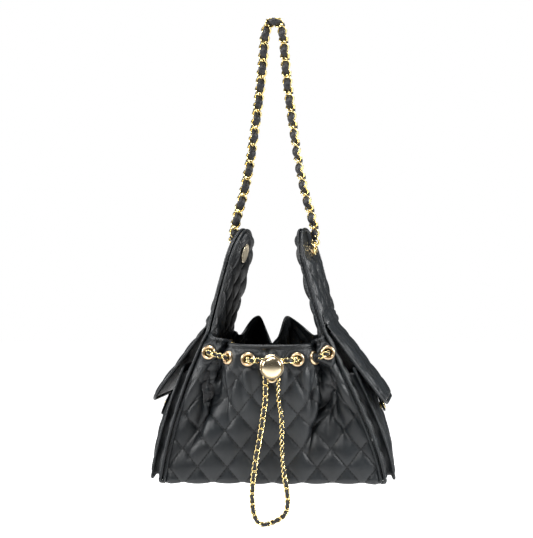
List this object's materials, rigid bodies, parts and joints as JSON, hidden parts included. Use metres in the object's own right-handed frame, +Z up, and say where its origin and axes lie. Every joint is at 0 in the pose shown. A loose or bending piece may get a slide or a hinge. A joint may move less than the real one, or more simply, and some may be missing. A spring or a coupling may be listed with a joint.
{
  "type": "bucket bag",
  "caption": "Quilted leather bucket bag with drawstring mouth, snap-flap side pockets and a lace-woven chain strap, hung by the strap.",
  "frame": {"origin": "the point that the strap hangs from, at the top of the strap's middle", "axes": "+Z up, +X towards the bag's right as seen from the front, +Y towards the back"},
  "size_m": [0.2964, 0.2108, 0.6133],
  "materials": {
    "leather": "soft semi-gloss quilted",
    "lace_leather": "flat lace",
    "lining": "woven",
    "board": "pressed fibre board",
    "gold": "polished gold-coloured plating",
    "pale_gold": "polished pale gold plating"
  },
  "bodies": {
    "strap": {"strap_links": "gold", "strap_lace": "lace_leather", "left_strap_ring": "gold", "right_strap_ring": "gold"},
    "bag": {"front_panel": "leather", "back_panel": "leather", "left_side_panel": "leather", "right_side_panel": "leather", "left_horn_facing": "leather", "right_horn_facing": "leather", "base_panel": "leather", "base_board": "board", "lining": "lining", "left_piping": "leather", "right_piping": "leather", "front_eyelets": "gold", "back_eyelets": "gold", "left_horn_post": "pale_gold", "right_horn_post": "pale_gold", "left_horn_cap": "pale_gold", "right_horn_cap": "pale_gold", "left_pocket_face": "leather", "right_pocket_face": "leather", "left_pocket_gusset": "leather", "right_pocket_gusset": "leather", "left_pocket_piping": "leather", "right_pocket_piping": "leather", "left_snap_socket": "gold", "right_snap_socket": "gold", "rim_lace": "lace_leather", "left_flap_root": "leather", "right_flap_root": "leather"},
    "left_flap": {"left_flap_panel": "leather", "left_flap_piping": "leather", "left_flap_tab": "leather", "left_tab_plate": "gold", "left_snap_stud": "gold"},
    "right_flap": {"right_flap_panel": "leather", "right_flap_piping": "leather", "right_flap_tab": "leather", "right_tab_plate": "gold", "right_snap_stud": "gold"},
    "drawstring": {"tail_lace": "lace_leather", "tail_links": "gold"},
    "slider": {"slider_cap": "pale_gold", "slider_guide": "pale_gold", "slider_back": "pale_gold"}
  },
  "joints": [
    {"name": "bag_swing", "type": "hinge", "parent": "strap", "child": "bag", "pos_m": [0, 0, -0.2856], "axis": [0.9744, -0.225, 0], "range_deg": [-50, 50]},
    {"name": "left_flap_hinge", "type": "hinge", "parent": "bag", "child": "left_flap", "pos_m": [-0.07633, 0.00966, -0.383], "axis": [0.1256, 0.9921, 0], "range_deg": [0, 110]},
    {"name": "right_flap_hinge", "type": "hinge", "parent": "bag", "child": "right_flap", "pos_m": [0.07633, -0.00966, -0.383], "axis": [-0.1256, -0.9921, 0], "range_deg": [0, 110]},
    {"name": "drawstring_swing", "type": "hinge", "parent": "bag", "child": "drawstring", "pos_m": [0, -0.097, -0.415], "axis": [-1, 0, 0], "range_deg": [0, 30]},
    {"name": "slider_slide", "type": "slide", "parent": "drawstring", "child": "slider", "axis": [0, 0, -1], "range_m": [0, 0.022]}
  ]
}
